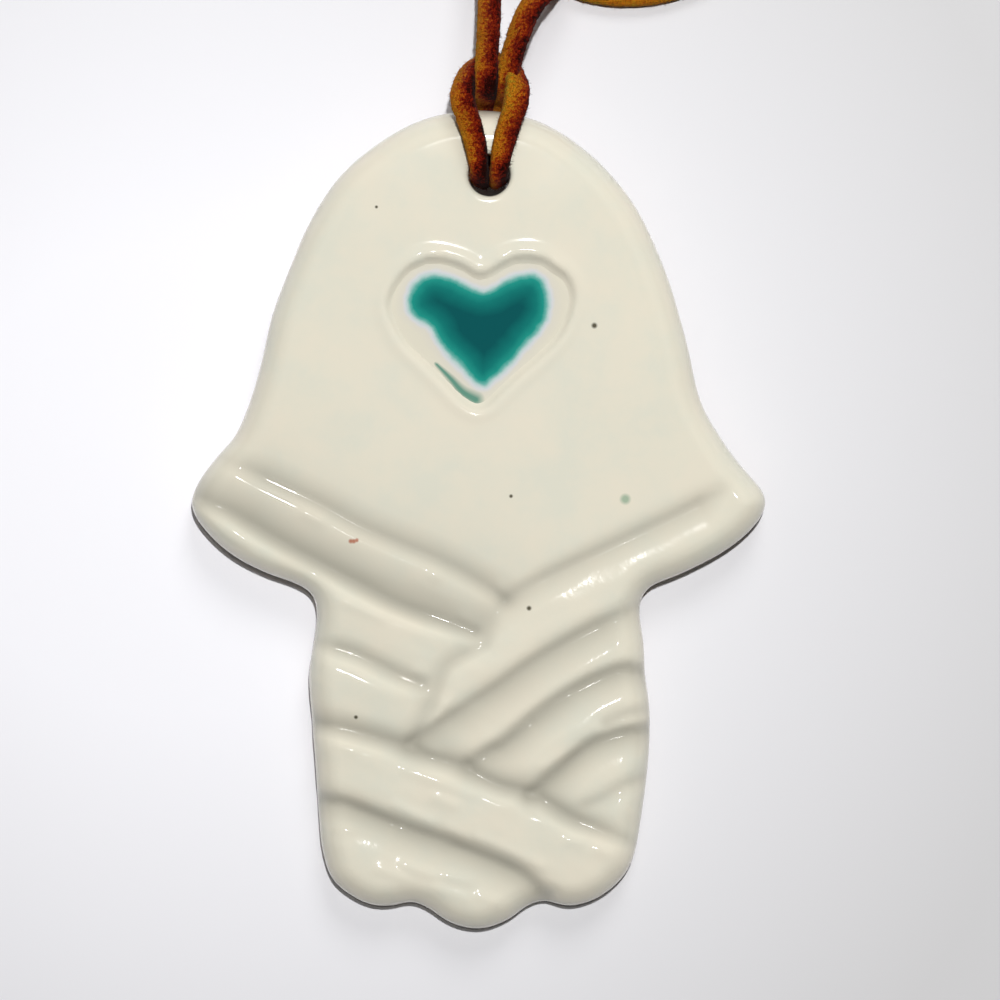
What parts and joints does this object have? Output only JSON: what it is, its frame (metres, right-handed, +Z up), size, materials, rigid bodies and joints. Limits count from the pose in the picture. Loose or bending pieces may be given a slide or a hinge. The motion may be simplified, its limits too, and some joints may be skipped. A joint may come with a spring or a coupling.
{
  "type": "hamsa hand ornament",
  "caption": "Glazed ceramic hand-shaped hanging ornament with a heart of glass glaze, crossed bands in relief and a suede lace hitched through its hole.",
  "frame": {"origin": "bottom centre of the ceramic hand, on the surface that it lies on", "axes": "+Z up, out of the decorated face; +Y towards the hanging hole; +X to the right as the face is looked at"},
  "size_m": [0.0735, 0.1539, 0.0111],
  "materials": {
    "hand_glaze": "glossy clear glaze over off-white clay",
    "heart_glass": "glossy turquoise glass glaze",
    "suede": "matt ochre suede"
  },
  "bodies": {
    "hand": {"hand_slab": "hand_glaze", "heart_glaze": "heart_glass"},
    "lace": {"lace_hitch": "suede", "lace_left_tail": "suede", "lace_right_tail": "suede", "lace_outer_turn": "suede", "lace_inner_turn": "suede", "lace_knot": "suede"}
  },
  "joints": [
    {"name": "lace_swing", "type": "hinge", "parent": "hand", "child": "lace", "pos_m": [0.0013, 0.04154, 0.00538], "axis": [0, 0, 1], "range_deg": [-15, 15]}
  ]
}
